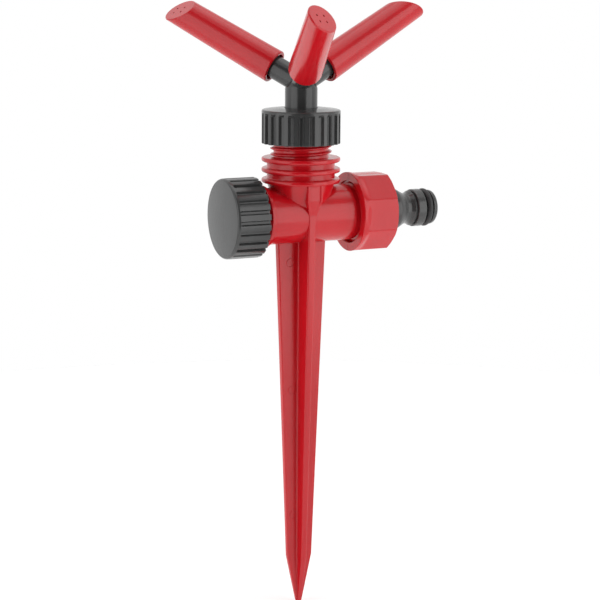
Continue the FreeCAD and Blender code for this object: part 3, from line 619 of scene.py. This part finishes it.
# the floor, the lights and the camera
floorSet = {"radius": 0.5, "sides": 96, "colour": (0.90, 0.90, 0.90, 1.0), "glow": 0.22}
lightSet = {
    "leftBox": {"azimuth": 192.6, "height": 0.10, "distance": 0.9, "wide": 0.78, "tall": 1.1, "power": 3.4},
    "rightBox": {"azimuth": 303.6, "height": 0.10, "distance": 0.9, "wide": 0.78, "tall": 1.1, "power": 4.4},
    "topBox": {"azimuth": 0.0, "height": 1.3, "distance": 0.05, "wide": 1.2, "tall": 1.2, "power": 4.0},
}
# the surround: pale behind the object, dimmer in front, and a dark gap between the two soft boxes; where
# they start and end is in degrees of azimuth, and each ends over twice its edge
worldSet = {
    "back": 0.95,
    "front": {"level": 0.40, "start": 172.0, "end": 324.0, "edge": 12.0},
    "gap": {"level": 0.02, "start": 220.0, "end": 275.0, "edge": 2.5},
}
cameraSet = {"azimuth": -25.35, "pitch": 10.65, "roll": 0.35, "distance": 0.8406, "lookHeight": -0.0175,
             "lens": 116.2}


def addFloor():
    # a disc at the height of the spike's tip
    turns = evenTurns(floorSet["sides"])
    rim = np.stack([np.cos(turns), np.sin(turns), np.zeros_like(turns)], 1) * floorSet["radius"]
    rim[:, 2] = cadBox[0][2]
    mesh = bpy.data.meshes.new("floor")
    mesh.from_pydata(rim.tolist(), [], [list(range(floorSet["sides"]))])
    floor = bpy.data.objects.new("floor", mesh)
    scene.collection.objects.link(floor)
    finish = {"Base Color": floorSet["colour"], "Roughness": 0.8, "Emission Color": (1.0, 1.0, 1.0, 1.0),
              "Emission Strength": floorSet["glow"]}
    mesh.materials.append(newMaterial("paleFloor", finish)[0])


def addLight(name, box):
    # a rectangular soft box that faces the object's middle
    turn = math.radians(box["azimuth"])
    place = Vector((math.cos(turn) * box["distance"], math.sin(turn) * box["distance"], box["height"]))
    light = bpy.data.lights.new(name, "AREA")
    light.shape = "RECTANGLE"
    light.size = box["wide"]
    light.size_y = box["tall"]
    light.energy = box["power"]
    holder = bpy.data.objects.new(name, light)
    holder.location = place
    aim = Vector((0.0, 0.0, 0.0)) - place
    holder.rotation_euler = aim.to_track_quat("-Z", "Y").to_euler()
    scene.collection.objects.link(holder)


def addWorld():
    # a pale surround with a dark gap behind the camera: white where it is seen directly
    world = bpy.data.worlds.new("studio")
    scene.world = world
    world.use_nodes = True
    tree = world.node_tree
    background = tree.nodes["Background"]
    background.inputs["Color"].default_value = (1.0, 1.0, 1.0, 1.0)
    direction = Field(tree, tree.nodes.new("ShaderNodeTexCoord").outputs["Generated"])
    parts = direction.node("ShaderNodeSeparateXYZ", {}, {"Vector": direction})
    sideways = Field(tree, parts.socket.node.outputs["Y"])
    # the azimuth in degrees, from 0 to 360 counted from +X, where its seam lies
    turn = direction.math("ARCTAN2", sideways * -1.0, parts * -1.0) * (180.0 / math.pi) + 180.0
    level = worldSet["back"]
    for word in ("front", "gap"):
        part = worldSet[word]
        inside = turn.step(part["start"] - part["edge"], part["start"] + part["edge"])
        inside = inside - turn.step(part["end"] - part["edge"], part["end"] + part["edge"])
        level = level + (part["level"] - level) * inside
    seen = Field(tree, tree.nodes.new("ShaderNodeLightPath").outputs["Is Camera Ray"])
    tree.links.new(direction.math("MAXIMUM", level, seen).socket, background.inputs["Strength"])


def addCamera():
    turn, pitch, roll = (math.radians(cameraSet[word]) for word in ("azimuth", "pitch", "roll"))
    ahead = Vector((-math.sin(turn) * math.cos(pitch), math.cos(turn) * math.cos(pitch), -math.sin(pitch)))
    right = Vector((math.cos(turn), math.sin(turn), 0.0))
    up = right.cross(ahead)
    rolledRight = right * math.cos(roll) + up * math.sin(roll)
    rolledUp = up * math.cos(roll) - right * math.sin(roll)
    eye = Vector((0.0, 0.0, cameraSet["lookHeight"])) - ahead * cameraSet["distance"]
    lens = bpy.data.cameras.new("camera")
    lens.lens = cameraSet["lens"]
    lens.sensor_width = 36.0
    lens.clip_start = 0.01
    camera = bpy.data.objects.new("camera", lens)
    rows = Matrix((rolledRight, rolledUp, -ahead)).transposed().to_4x4()
    rows.translation = eye
    camera.matrix_world = rows
    scene.collection.objects.link(camera)
    scene.camera = camera


addFloor()
for lightName, lightBox in lightSet.items():
    addLight(lightName, lightBox)
addWorld()
addCamera()
scene.view_settings.view_transform = "Standard"
print("stage done")
